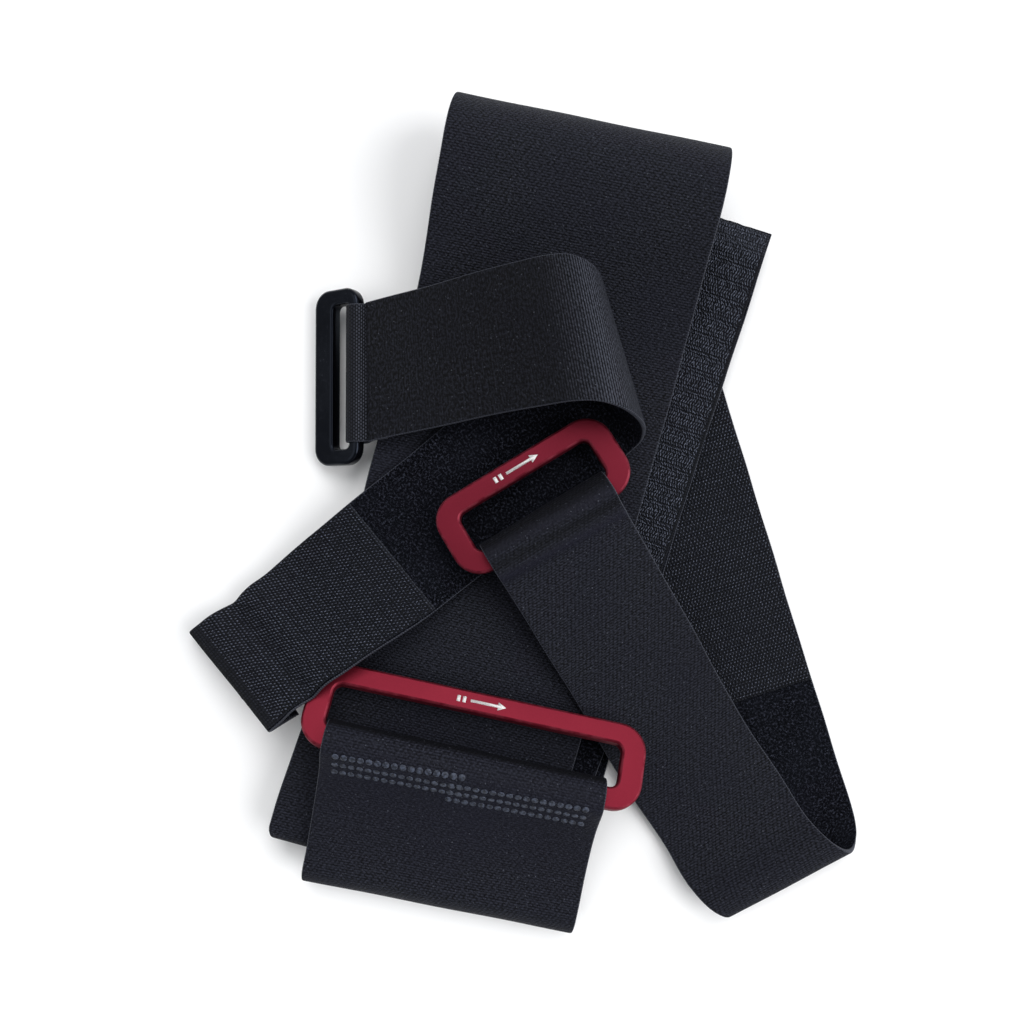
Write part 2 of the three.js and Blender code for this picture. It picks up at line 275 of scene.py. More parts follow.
# Procedural materials. Distances in them are in metres along the cloth. They read these values of a piece's
# points: bend, how tightly the strap bends there; worn, a tone; painted_shade, painted shade where shadow
# falls; and edge, 1 on a ring's bevel.
BLACK_THREAD = (0.0008, 0.001, 0.0016)
SHEEN_BLUE = (0.55, 0.62, 0.85, 1)
PLUSH_SHEEN = (0.35, 0.4, 0.6, 1)
RIB_PITCH, RIB_DASH, RIB_STAGGER = 0.00092, 0.0016, 0.00052  # of the webbing's weave
TWILL_PITCH, TWILL_DASH, TWILL_STAGGER = 0.00085, 0.0013, 0.00062  # of the tab's tape


class Paint:
    """A node material with short calls: a value is a number, a tuple or another node's socket."""

    def __init__(self, name, **shader):
        self.material = bpy.data.materials.new(name)
        self.material.use_nodes = True
        self.tree = self.material.node_tree
        self.shader = next(n for n in self.tree.nodes if n.type == "BSDF_PRINCIPLED")
        for key, value in shader.items():
            self.shader.inputs[key.replace("_", " ")].default_value = value
        uv = self.add("ShaderNodeUVMap")
        uv.uv_map = "UVMap"
        self.uv = uv.outputs["UV"]
        split = self.add("ShaderNodeSeparateXYZ", Vector=self.uv)
        self.u, self.v = split.outputs["X"], split.outputs["Y"]

    def add(self, kind, settings=None, **inputs):
        node = self.tree.nodes.new(kind)
        for key, value in (settings or {}).items():
            setattr(node, key, value)
        for key, value in inputs.items():
            self.put(node.inputs[key.replace("_", " ")], value)
        return node

    def put(self, socket, value):
        if isinstance(value, bpy.types.NodeSocket):
            self.tree.links.new(value, socket)
        else:
            socket.default_value = value

    def math(self, operation, a, b=0.0, c=0.0):
        node = self.add("ShaderNodeMath", {"operation": operation})
        for socket, value in zip(node.inputs, (a, b, c)):
            self.put(socket, value)
        return node.outputs[0]

    def noise(self, scale, detail=2.0, rough=0.5, stretch=(1, 1, 1)):
        """Noise laid out along the cloth: `scale` is features per metre."""
        mapped = self.add("ShaderNodeMapping", Vector=self.uv, Scale=stretch)
        node = self.add(
            "ShaderNodeTexNoise", Vector=mapped.outputs[0], Scale=scale, Detail=detail, Roughness=rough
        )
        return node.outputs[0]

    def solid_noise(self, scale, detail=2.0):
        """Noise in space, for a piece with no cloth layout."""
        spot = self.add("ShaderNodeTexCoord")
        node = self.add("ShaderNodeTexNoise", Vector=spot.outputs["Object"], Scale=scale, Detail=detail)
        return node.outputs[0]

    def attribute(self, name):
        return self.add("ShaderNodeAttribute", {"attribute_name": name}).outputs["Fac"]

    def range(self, value, low, high, to_low=0.0, to_high=1.0):
        node = self.add("ShaderNodeMapRange")
        for socket, number in zip(node.inputs, (value, low, high, to_low, to_high)):
            self.put(socket, number)
        return node.outputs[0]

    def mix(self, factor, a, b):
        node = self.add("ShaderNodeMix", {"data_type": "RGBA"})
        self.put(node.inputs[0], factor)
        self.put(node.inputs[6], (*a, 1) if isinstance(a, tuple) else a)
        self.put(node.inputs[7], (*b, 1) if isinstance(b, tuple) else b)
        return node.outputs[2]

    def ripple(self, coordinate, pitch):
        """0 to 1 and back over each pitch, as a round thread does."""
        return self.math("ABSOLUTE", self.math("SINE", self.math("MULTIPLY", coordinate, math.pi / pitch)))

    def bump(self, height, distance, strength=1.0, under=None):
        node = self.add("ShaderNodeBump", Height=height, Distance=distance, Strength=strength)
        if under is not None:
            self.put(node.inputs["Normal"], under)
        return node.outputs[0]

    def finish(self, color=None, roughness=None, normal=None):
        for key, value in (("Base Color", color), ("Roughness", roughness), ("Normal", normal)):
            if value is not None:
                self.put(self.shader.inputs[key], value)
        return self.material


def ribbed(paint, pitch, dash, stagger, broken):
    """Height of a weave of ribs across the strap, each `broken` into dashes that step along row by row."""
    row = paint.math("FLOOR", paint.math("DIVIDE", paint.v, pitch))
    shifted = paint.math("ADD", paint.u, paint.math("MULTIPLY", row, stagger))
    rib, thread = paint.ripple(paint.v, pitch), paint.ripple(shifted, dash)
    return paint.math("MULTIPLY", rib, paint.math("ADD", paint.math("MULTIPLY", thread, broken), 1 - broken))


def webbing_face(name, flat, opened, rib_highlight, broken, tone):
    """The tight woven side of the laminated webbing. Its ribs stand out by `flat` where the strap lies flat
    and by `opened` where it bends and the weave opens; `rib_highlight` is how much paler the opened ribs get,
    partly the opened weave's own pale thread and partly a painted highlight on the rib tops."""
    paint = Paint(name, Roughness=0.7, Sheen_Weight=0.008, Sheen_Roughness=0.45, Specular_IOR_Level=0.1,
                  Sheen_Tint=SHEEN_BLUE)
    weave = ribbed(paint, RIB_PITCH, RIB_DASH, RIB_STAGGER, broken)
    grain = paint.range(paint.noise(1050, 3, 0.65, stretch=(0.8, 1.15, 1)), 0.36, 0.66)
    bend = paint.range(paint.attribute("bend"), 0.004, 0.075)
    worn = paint.attribute("worn")
    cloud = paint.noise(24, 3)
    lint = paint.range(paint.noise(1300, 0), 0.775, 0.83)
    ribs = paint.math("MULTIPLY", paint.range(bend, 0, 1, flat, opened), paint.range(worn, 0, 1, 1, 0.25))
    height = paint.math("ADD", paint.math("MULTIPLY", weave, ribs), paint.math("MULTIPLY", grain, 0.72))
    light = tuple(tone * c for c in (0.0235, 0.0257, 0.0375))
    dusty = tuple(tone * c for c in (0.0078, 0.008, 0.0158))
    crest = paint.range(bend, 0, 1, 0.55 + flat, 0.5 + opened)
    base = paint.mix(paint.range(height, 0.3, crest), BLACK_THREAD, light)
    base = paint.mix(paint.range(cloud, 0.35, 0.7, 0, 0.3), base, dusty)
    # Painted highlight, in part: the tops of the opened ribs turn pale where the strap bends.
    rib_top_highlight = paint.math("MULTIPLY", bend, paint.range(height, 0.75, 1.7, 0, rib_highlight))
    base = paint.mix(rib_top_highlight, base, (0.085, 0.092, 0.12))
    base = paint.mix(paint.math("MULTIPLY", worn, 0.45), base, (0.0125, 0.0125, 0.0245))
    # Painted shade: the face goes near-black where painted_shade marks shadow (loop crease, arm strap's turn
    # and groove).
    base = paint.mix(paint.attribute("painted_shade"), base, (0.0012, 0.0014, 0.0022))
    base = paint.mix(paint.math("MULTIPLY", lint, 0.4), base, (0.12, 0.13, 0.16))
    rough = paint.range(paint.math("ADD", paint.math("MULTIPLY", worn, -0.6), cloud), 0, 1, 0.5, 0.8)
    normal = paint.bump(paint.noise(120, 3), 0.0005, 0.4)
    return paint.finish(base, rough, paint.bump(height, 0.00028, 0.9, normal))


def plush_face():
    """The brushed loop side of the webbing."""
    paint = Paint("plush_face", Roughness=0.97, Sheen_Weight=0.02, Sheen_Roughness=0.6,
                  Specular_IOR_Level=0.04, Sheen_Tint=PLUSH_SHEEN)
    fuzz = paint.noise(1150, 4, 0.75)
    tuft = paint.noise(420, 3, 0.6)
    nap = paint.noise(55, 2, stretch=(1, 0.6, 1))
    base = paint.mix(paint.range(fuzz, 0.5, 0.66), (0.0005, 0.0006, 0.001), (0.042, 0.046, 0.066))
    base = paint.mix(paint.range(tuft, 0.42, 0.62, 0, 0.6), base, (0.0018, 0.002, 0.003))
    base = paint.mix(paint.range(nap, 0.35, 0.7, 0, 0.3), base, (0.009, 0.010, 0.015))
    height = paint.math("ADD", fuzz, paint.math("MULTIPLY", tuft, 1.4))
    return paint.finish(base, None, paint.bump(height, 0.0007, 0.9))


def selvedge():
    """The woven and pressed edge of the webbing, paler than its face: partly its own thread, partly a painted
    highlight along the edge.
    """
    paint = Paint("selvedge", Roughness=0.6, Sheen_Weight=0.02, Sheen_Roughness=0.4, Specular_IOR_Level=0.2)
    thread = paint.ripple(paint.v, 0.0009)
    # Paler thread along the edge, in part a painted highlight where the edge catches the light.
    base = paint.mix(thread, (0.009, 0.010, 0.0145), (0.042, 0.046, 0.062))
    base = paint.mix(paint.range(paint.noise(400, 2), 0.4, 0.7, 0, 0.5), base, (0.02, 0.022, 0.03))
    return paint.finish(base, None, paint.bump(thread, 0.0002, 0.8))


def hook_backing():
    """The woven backing that the rows of hooks stand on."""
    paint = Paint("hook_backing", Roughness=0.7, Specular_IOR_Level=0.12)
    rows, columns = paint.ripple(paint.v, 0.00095), paint.ripple(paint.u, 0.00125)
    patchy = paint.range(paint.noise(700, 2), 0.35, 0.65, 0.35, 1.3)
    grid = paint.math("MULTIPLY", paint.math("MULTIPLY", rows, columns), patchy)
    base = paint.mix(grid, (0.001, 0.0012, 0.002), (0.010, 0.0115, 0.018))
    base = paint.mix(paint.range(paint.noise(45, 3), 0.35, 0.7, 0, 0.3), base, (0.008, 0.009, 0.013))
    paler_weave = paint.math("MULTIPLY", paint.attribute("worn"), paint.range(grid, 0.1, 0.8, 0.1, 0.6))
    base = paint.mix(paler_weave, base, (0.06, 0.066, 0.085))
    return paint.finish(base, None, paint.bump(grid, 0.0004, 0.9))


def hook_tips():
    """The stiff plastic hooks, shinier and paler than what they stand on."""
    paint = Paint("hook_tips", Roughness=0.45, Specular_IOR_Level=0.32)
    base = paint.mix(paint.range(paint.noise(900, 1), 0.35, 0.65), (0.026, 0.03, 0.045), (0.11, 0.124, 0.172))
    return paint.finish(base, paint.range(paint.noise(60, 2), 0.3, 0.7, 0.36, 0.55))


def tab_cloth():
    """The stiff twill tape of the buckle's tab, its weave paler where it bends down to the strap."""
    paint = Paint("tab_cloth", Roughness=0.66, Sheen_Weight=0.01, Specular_IOR_Level=0.12)
    twill = ribbed(paint, TWILL_PITCH, TWILL_DASH, TWILL_STAGGER, 0.85)
    base = paint.mix(paint.range(twill, 0.1, 0.9), (0.0018, 0.002, 0.003), (0.014, 0.0155, 0.023))
    # The weave turns paler over the tab's end.
    paler_weave = paint.math("MULTIPLY", paint.attribute("worn"), paint.range(twill, 0.3, 0.95))
    patchy = paint.range(paint.noise(500, 2), 0.35, 0.6, 0.4, 0.9)
    base = paint.mix(paint.math("MULTIPLY", paler_weave, patchy), base, (0.075, 0.082, 0.105))
    return paint.finish(base, None, paint.bump(twill, 0.0003, 0.9))


def red_anodised(name, ring_shade):
    """Bead-blasted aluminium with a satin red anodised coat, slightly paler in patches along its bevelled
    edges. More `ring_shade` darkens the whole ring: painted shade, for a ring that lies in shadow."""
    paint = Paint(name, Metallic=0.8, Roughness=0.45, Specular_IOR_Level=0.3)
    blast = paint.solid_noise(2600, 2)
    cloud = paint.solid_noise(55, 3)
    base = paint.mix(paint.range(cloud, 0.35, 0.68), (0.155, 0.009, 0.0205), (0.185, 0.0115, 0.026))
    # Painted shade: ring_shade darkens the whole ring.
    base = paint.mix(ring_shade, base, (0.06, 0.0055, 0.0145))
    base = paint.mix(paint.range(blast, 0.35, 0.65, 0, 0.22), base, (0.10, 0.005, 0.012))
    # Paler in patches along the bevels, where the edge attribute is 1.
    paler_bevel = paint.math("MULTIPLY", paint.attribute("edge"), paint.range(paint.solid_noise(300, 3), 0.38, 0.6))
    base = paint.mix(paint.math("MULTIPLY", paler_bevel, 0.25), base, (0.5, 0.09, 0.13))
    return paint.finish(base, paint.range(cloud, 0.3, 0.7, 0.46, 0.58), paint.bump(blast, 0.00005, 0.3))


def black_moulding():
    """Glossy black moulded plastic with a faint ripple and fine scuffs."""
    paint = Paint("black_moulding", Specular_IOR_Level=0.22, Specular_Tint=(0.6, 0.72, 1, 1))
    scuff = paint.range(paint.solid_noise(900, 4), 0.55, 0.75)
    base = paint.mix(paint.math("MULTIPLY", scuff, 0.3), (0.0012, 0.0012, 0.0018), (0.009, 0.009, 0.012))
    satin = paint.range(paint.solid_noise(70, 2), 0.3, 0.7, 0.1, 0.2)
    rough = paint.math("ADD", satin, paint.math("MULTIPLY", scuff, 0.12))
    return paint.finish(base, rough, paint.bump(paint.solid_noise(160, 2), 0.0002, 0.25))


def weld_melt():
    """Webbing melted by the welding tool, paler and shinier than the weave round it."""
    paint = Paint("weld_melt", Roughness=0.5, Specular_IOR_Level=0.35)
    base = paint.mix(paint.range(paint.noise(900, 3), 0.4, 0.62), (0.009, 0.011, 0.018), (0.05, 0.06, 0.09))
    return paint.finish(base, paint.range(paint.noise(300, 1), 0.3, 0.7, 0.38, 0.6))


def white_print():
    """Printed marking on a ring's rail."""
    paint = Paint("white_print", Roughness=0.5)
    ink = paint.mix(paint.range(paint.solid_noise(2500, 2), 0.35, 0.6), (0.5, 0.48, 0.48), (0.78, 0.77, 0.76))
    return paint.finish(ink)


def pale_floor():
    """A plain pale studio floor, with the faintest cloud in it."""
    paint = Paint("pale_floor", Roughness=0.9)
    cloud = paint.range(paint.solid_noise(6, 2), 0.3, 0.7)
    return paint.finish(paint.mix(cloud, (0.93, 0.93, 0.935), (0.95, 0.95, 0.95)))


FACE = webbing_face("webbing_face", flat=0.65, opened=0.7, rib_highlight=0, broken=0.8, tone=1)
RIBBED_FACE = webbing_face("webbing_face_ribbed", flat=0.15, opened=1.4, rib_highlight=0.62, broken=0.32, tone=0.5)
PLUSH, EDGE = plush_face(), selvedge()
BACKING, HOOKS, TAB_TAPE = hook_backing(), hook_tips(), tab_cloth()
# SHADED_RED is the same red with painted shade, for the arm ring in the shadow of the cinch strap's arch.
RED, SHADED_RED = red_anodised("red_anodised", 0), red_anodised("red_anodised_shaded", 0.3)
BLACK, PRINT, WELD = black_moulding(), white_print(), weld_melt()


# Meshes
def make(name, points, faces, materials, uvs=None, slots=None, values=None):
    """A smooth-shaded object from points in layout millimetres, with UVs in metres and point attributes."""
    mesh = bpy.data.meshes.new(name)
    mesh.from_pydata(metres(points).tolist(), [], [tuple(int(i) for i in face) for face in faces])
    for material in materials:
        mesh.materials.append(material)
    if slots is not None:
        mesh.polygons.foreach_set("material_index", np.asarray(slots, np.int32))
    if uvs is not None:
        layer = mesh.uv_layers.new(name="UVMap")
        corners = np.zeros(len(mesh.loops), np.int32)
        mesh.loops.foreach_get("vertex_index", corners)
        layer.data.foreach_set("uv", (np.asarray(uvs)[corners] * MM).astype(np.float32).ravel())
    for key, numbers in (values or {}).items():
        attribute = mesh.attributes.new(key, "FLOAT", "POINT")
        attribute.data.foreach_set("value", np.asarray(numbers, np.float32).ravel())
    mesh.polygons.foreach_set("use_smooth", np.ones(len(mesh.polygons), bool))
    mesh.update()
    obj = bpy.data.objects.new(name, mesh)
    bpy.context.scene.collection.objects.link(obj)
    return obj


def grid_faces(rows, columns, start=0, flip=False):
    """Quads over a grid of points numbered row by row."""
    i = np.arange(rows - 1)[:, None] * columns + np.arange(columns - 1)[None, :] + start
    quads = np.stack([i, i + 1, i + columns + 1, i + columns], axis=-1).reshape(-1, 4)
    return quads[:, ::-1] if flip else quads


EDGE_SOFT = 0.8  # how far in from its edge the webbing gets thinner
EDGE_THIN = 0.42  # its thickness at the very edge, as a share
EDGE_PLACES = (0, 0.12, 0.35, 0.7)  # from the edge, where the faces are close together
EDGE_DONE = 1.2  # from the edge, where the even faces start
BOUND = 2  # columns of faces along each edge that belong to the selvedge
FACE_SLOT, BACK_SLOT, EDGE_SLOT = 0, 1, 2


def width_steps(width, pitch):
    """Places across a strap, closer together at both edges."""
    even = width / 2 - EDGE_DONE
    inner = np.linspace(-even, even, max(3, round(2 * even / pitch)))
    edge = width / 2 - np.array(EDGE_PLACES)
    return np.concatenate([-edge, inner, edge[::-1]])


def cloth(name, strip, start, end, width, thickness, materials, offset=0, step=1.4, pitch=2.2, relief=None,
          worn=None, painted_shade=None, ragged=(0, 0), caps=(EDGE_SLOT, EDGE_SLOT), seed=1):
    """A closed strap between two runs. materials are for the face, the back and the edges. relief, worn and
    painted_shade are functions of the place across and the run; painted_shade is painted shade that darkens
    the face where shadow falls. ragged is how uneven each cut end is, and caps are the material slots of
    the two ends."""
    rows = max(3, math.ceil((end - start) / step) + 1)
    run = np.linspace(start, end, rows)
    side = width_steps(width, pitch)
    v, u = np.meshgrid(run, side, indexing="ij")
    rng = np.random.default_rng(seed)
    for row, amount in zip((0, -1), ragged):
        v[row] += amount * (rng.random(len(side)) - 0.5)
    middle, across, face, bend = strip.at(v)
    # Cut webbing is never quite the same width: its edges wander by a tenth of a millimetre or two.
    wander = 0.14 * np.sin(run / 17 + seed) + 0.08 * np.sin(run / 5.3 + 2 * seed)
    u_shown = u + wander[:, None] * np.abs(u / (width / 2)) ** 3
    rise = offset + (relief(u, v) if relief else 0 * u)
    from_edge = width / 2 - np.abs(u)
    thin = np.sqrt(np.clip(1 - (1 - np.clip(from_edge / EDGE_SOFT, 0, 1)) ** 2, 0, 1))
    half = thickness / 2 * (EDGE_THIN + (1 - EDGE_THIN) * thin)
    shell = [
        middle + across * u_shown[..., None] + face * (rise + sign * half)[..., None] for sign in (1, -1)
    ]
    columns = len(side)
    count = rows * columns
    points = np.concatenate([layer.reshape(-1, 3) for layer in shell])
    top = grid_faces(rows, columns)
    under = grid_faces(rows, columns, count, flip=True)
    line = np.arange(rows - 1) * columns
    right = line + columns - 1
    left_rim = np.stack([line, line + columns, line + columns + count, line + count], axis=1)
    right_rim = np.stack([right, right + count, right + columns + count, right + columns], axis=1)
    cell = np.arange(columns - 1)
    last = (rows - 1) * columns + cell
    start_cap = np.stack([cell, cell + count, cell + 1 + count, cell + 1], axis=1)
    end_cap = np.stack([last, last + 1, last + 1 + count, last + count], axis=1)
    rims = [left_rim, right_rim, start_cap, end_cap]
    faces = np.concatenate([top, under, *rims])
    column = np.tile(np.arange(columns - 1), rows - 1)
    bound = (column < BOUND) | (column >= columns - 1 - BOUND)
    slots = np.concatenate([
        np.where(bound, EDGE_SLOT, FACE_SLOT), np.where(bound, EDGE_SLOT, BACK_SLOT),
        np.full(2 * len(line), EDGE_SLOT), np.full(len(cell), caps[0]), np.full(len(cell), caps[1]),
    ])
    uv = np.stack([u, v], axis=-1).reshape(-1, 2)
    tones = {"bend": bend, "worn": worn(u, v) if worn else 0 * u, "painted_shade": painted_shade(u, v) if painted_shade else 0 * u}
    values = {key: np.concatenate([tone.ravel()] * 2) for key, tone in tones.items()}
    return make(name, points, faces, materials, np.concatenate([uv, uv]), slots, values)


# The outline of a hook seen from its side: how far it leans over, how high it is and how thick it is there.
HOOK_SHAPE = ((0, 0, 0.26), (0.02, 0.45, 0.2), (0.16, 0.85, 0.17), (0.4, 1.0, 0.13), (0.55, 0.78, 0.07))
HOOK_SPREAD = 0.05  # how unevenly hooks stand in their rows
HOOK_TWIST = 0.25  # and how unevenly they are turned, in radians
HOOK_LEAN = 1.05  # how far a hook reaches over
TAPE_PITCH = (1.3, 1.2)  # between hooks along a row and between rows
LONG_LEAN = 1.9  # the same for the table strap's coarser tape
LONG_PITCH = (0.95, 1.35)


def hooks(name, strip, start, end, low, high, offset, lean, reach_by, pitch, relief, seed):
    """Rows of small hooks standing on the back of a tape, leaning at an angle in its plane."""
    rng = np.random.default_rng(seed)
    across_row = np.arange(low, high, pitch[0])
    down = np.arange(start, end, pitch[1])
    v, u = np.meshgrid(down, across_row, indexing="ij")
    u = u + (np.arange(len(down)) % 2)[:, None] * pitch[0] / 2 + rng.normal(0, HOOK_SPREAD, u.shape)
    v = v + rng.normal(0, HOOK_SPREAD, v.shape)
    angle = lean(u, v) + rng.normal(0, HOOK_TWIST, u.shape)
    height = HOOK_TALL * rng.uniform(0.8, 1, u.shape)
    middle, across, face, _ = strip.at(v)
    along = np.cross(across, face)
    root = middle + across * u[..., None] + face * (offset + relief(u, v))[..., None]
    reach = across * np.cos(angle)[..., None] + along * np.sin(angle)[..., None]
    side = np.cross(reach, face)
    points, faces = [], []
    for lean_by, high_by, thick in HOOK_SHAPE:
        spot = root + reach * (reach_by * lean_by) - face * (height * high_by)[..., None]
        points += [spot + side * thick, spot + reach * thick * 0.8, spot - side * thick]
    points = np.stack(points, axis=2).reshape(-1, 3)
    each = 3 * len(HOOK_SHAPE)
    pattern = [
        (3 * k + a, 3 * k + b, 3 * k + 3 + b, 3 * k + 3 + a)
        for k in range(len(HOOK_SHAPE) - 1) for a, b in ((0, 1), (1, 2), (2, 0))
    ]
    starts = np.arange(len(points) // each)[:, None, None] * each
    faces = (starts + np.array(pattern)[None]).reshape(-1, 4)
    uv = np.repeat(np.stack([u, v], axis=-1).reshape(-1, 2), each, axis=0)
    return make(name, points, faces, [HOOKS], uv)


def rounded_loop(length, width, corner, centre_y, corner_steps=10, long_steps=14, short_steps=5):
    """Points round a rounded rectangle, in the same order and number whatever its size."""
    x, y = length / 2 - corner, width / 2 - corner
    points = []
    corners = ((x, -y, -90), (x, y, 0), (-x, y, 90), (-x, -y, 180))
    for k, (cx, cy, begin) in enumerate(corners):
        for i in range(corner_steps + 1):
            a = math.radians(begin + 90 * i / corner_steps)
            points.append((cx + corner * math.cos(a), cy + corner * math.sin(a)))
        next_x, next_y, start = corners[(k + 1) % 4]
        a = math.radians(start)
        here = np.array(points[-1])
        there = np.array([next_x + corner * math.cos(a), next_y + corner * math.sin(a)])
        steps = short_steps if k % 2 == 0 else long_steps
        points += [tuple(here + (there - here) * i / steps) for i in range(1, steps)]
    return np.array(points) + (0, centre_y)


def bevel_profile(bevel, thickness, hard=0.09):
    """(inset, height, edge) from a rail's flat top round its side to its flat bottom, with soft chamfers."""
    half = thickness / 2
    top = [
        (bevel + 3 * hard, half, 0),
        (bevel + hard, half - 0.01, 0.3),
        (bevel - 0.4 * hard, half - hard, 1),
        (0.4 * hard + 0.02, half - bevel + 0.3 * hard, 1),
        (0, half - bevel - hard, 0.3),
        (0, half - bevel - 4 * hard, 0),
    ]
    return top + [(inset, -height, edge) for inset, height, edge in reversed(top)]


def round_profile(bevel, thickness, steps=6):
    """The same for a moulded ring: quarter rounds in place of chamfers."""
    half = thickness / 2
    top = [(bevel + 0.5, half, 0)]
    for i in range(steps + 1):
        a = math.pi / 2 * i / steps
        top.append((bevel * (1 - math.sin(a)), half - bevel * (1 - math.cos(a)), 0.5))
    return top + [(inset, -height, edge) for inset, height, edge in reversed(top)]


def bar_matrix(bar):
    """From a ring's own axes (X along its rail, Y out from it, Z up from its face) to layout millimetres."""
    middle = Matrix.Translation((bar["x"], bar["y"], bar["z"]))
    heading = Matrix.Rotation(math.radians(bar["angle"]), 4, "Z")
    return np.array(middle @ heading @ Matrix.Rotation(math.radians(-bar["slope"]), 4, "X"))


def through(matrix, points):
    """These points, moved by a 4 x 4 matrix."""
    points = np.asarray(points, float)
    return points @ matrix[:3, :3].T + matrix[:3, 3]


def ring(name, bar, outline, slot, rail, outer_profile, slot_profile, material):
    """A slotted ring whose rail lies on its bar. outline is its length, width and corner, and slot is the
    same with how far the slot lies off the ring's middle."""
    length, width, corner = outline
    slot_length, slot_width, slot_corner, slot_y = slot
    middle_y = (width - rail) / 2
    layers, edges = [], []
    for inset, height, edge in outer_profile:
        line = rounded_loop(length - 2 * inset, width - 2 * inset, corner - inset, middle_y)
        layers.append(np.column_stack([line, np.full(len(line), height)]))
        edges.append(np.full(len(line), edge))
    for inset, height, edge in reversed(slot_profile):
        line = rounded_loop(
            slot_length + 2 * inset, slot_width + 2 * inset, slot_corner + inset, middle_y + slot_y
        )
        layers.append(np.column_stack([line, np.full(len(line), height)]))
        edges.append(np.full(len(line), edge))
    count, around = len(layers), len(layers[0])
    points = np.concatenate(layers)
    points[:, 0] += bar["shift"]
    i, j = np.arange(count)[:, None], np.arange(around)[None, :]
    i_next, j_next = (i + 1) % count, (j + 1) % around
    quads = [i * around + j, i_next * around + j, i_next * around + j_next, i * around + j_next]
    faces = np.stack(np.broadcast_arrays(*quads), axis=-1).reshape(-1, 4)
    values = {"edge": np.concatenate(edges)}
    return make(name, through(bar_matrix(bar), points), faces, [material], values=values)


PRINT_BOTTOM, PRINT_TOP = 0.012, 0.05  # heights of a printed mark above its rail


def mark(name, bar, rail_y, top, shapes):
    """A thin printed mark on a rail: flat polygons in the ring's own axes."""
    points, faces = [], []
    for shape in shapes:
        start = len(points)
        lifts = (PRINT_BOTTOM, PRINT_TOP)
        points += [(x + bar["shift"], rail_y + y, top + lift) for lift in lifts for x, y in shape]
        n = len(shape)
        faces.append([start + k for k in reversed(range(n))])
        faces.append([start + n + k for k in range(n)])
        faces += [(start + k, start + (k + 1) % n, start + n + (k + 1) % n, start + n + k) for k in range(n)]
    return make(name, through(bar_matrix(bar), points), faces, [PRINT])


def wave(u, v, length, size, phase=0.0):
    """A slow wave along a strap, a little askew."""
    return size * np.sin(2 * math.pi * v / length + phase + 0.012 * u)


def ridge(v, at, spread, size):
    """A raised or pressed band across a strap."""
    return size * np.exp(-(((v - at) / spread) ** 2))


# Straps
table_strip, arm_strip, cinch_strip = Strip(TABLE_ROUTE), Strip(ARM_ROUTE), Strip(CINCH_ROUTE)
tab_strip = Strip(TAB_ROUTE, step=0.5)
LINING, RIBBED_LINING = [FACE, PLUSH, EDGE], [RIBBED_FACE, PLUSH, EDGE]

WELD_AT = 42.2  # run from the table strap's start to the first row of weld dots
WELD_PRESS = WELD_AT + 4  # run of the middle of the pressed band under them
WELD_TILT = -0.045  # the rows run slightly out of square
WELD_ROWS, ROW_PITCH, DOT_PITCH = 3, 4.2, 2.95
WELD_GROUPS = ((-44.4, WELD_AT + 0.6, 16), (-3.4, WELD_AT + 2.4, 17))  # place across, run and dots a row
WELD_SIDES, WELD_RADIUS, WELD_HEIGHT, WELD_LIFT = 10, 1.3, 0.2, 0.03
WELD_DOME = ((1, 0), (0.8, 0.75), (0.35, 1))  # radius and height of a dot's rings of points, as shares
LOOP_FRONT = 29.8  # run from the table strap's start to the front of its welded loop
LOOP_END_SHOWS = 64  # run where the end inside that loop shows through
ARM_PRESS = (40, 50.5)  # runs of the two raised bands beside the arm ring
ARM_GROOVE = 45.5  # run of the pressed groove between them
ARM_TURNED = 42  # run where the arm strap has come round the ring's rail
ARM_SKEW = 0.06  # the bands run slightly out of square
TAIL_CREASES = ((275, 3.2, 1.7), (266, 4.5, -1), (284, 3.6, -0.8))  # run, spread and height of each
TAIL_SKEW = 0.05


def slack(u, v):
    """The slight waves that every strap has."""
    return wave(u, v, 61, 0.10, 0.4) + wave(v * 0.4, u, 47, 0.08, 1.1)


def table_press(u, v):
    """Heat-pressed band under the weld dots, and a faint one where the loop's end shows through."""
    return ridge(v, WELD_PRESS - 0.05 * u, 11, 0.6) + ridge(v, LOOP_END_SHOWS, 15, 0.5)


def table_shade(u, v):
    """Painted shade: a thin near-black line along the welded loop's front, where it dips between the ring's
    rails, standing in for the shadow in that crease.
    """
    return 0.85 * np.clip((LOOP_FRONT + 3.3 - v) / 0.6, 0, 1) * np.clip((v - LOOP_FRONT + 6) / 2, 0, 1)


def arm_press(u, v):
    """The weave is smoother on the two raised bands."""
    return np.clip(sum(ridge(v, at + ARM_SKEW * u, 2.4, 1) for at in ARM_PRESS), 0, 1)


def arm_relief(u, v):
    """Two raised bands beside the arm ring, with a groove between them."""
    raised = sum(ridge(v, at + ARM_SKEW * u, 2.2, 0.5) for at in ARM_PRESS)
    return slack(u, v) + raised - ridge(v, ARM_GROOVE + ARM_SKEW * u, 2.2, 0.75)


def arm_shade(u, v):
    """Painted shade: the strap is darkened where it turns round the rail, in the shadow of the fold above it,
    and in the groove beside the ring, where shadow falls.
    """
    rail_shade = np.clip((ARM_TURNED - v + ARM_SKEW / 2 * u) / 5, 0, 1)
    return np.clip(0.75 * rail_shade + ridge(v, ARM_GROOVE + ARM_SKEW * u, 2.4, 0.6), 0, 1)


def tail_relief(u, v):
    """Creases across the tail, near where its end turns under."""
    return slack(u, v) + sum(ridge(v - TAIL_SKEW * u, at, spread, size) for at, spread, size in TAIL_CREASES)


def tail_worn(u, v):
    """The tail's hook tape is pale along its first edge and a little worn where its end is bare."""
    start = np.clip((tail_hinge + HOOK_START + 1 - v) / 0.5, 0, 1)
    return start + 0.1 * np.clip((v - turn_under + TURNED_END + 1.5) / 1.5, 0, 1)


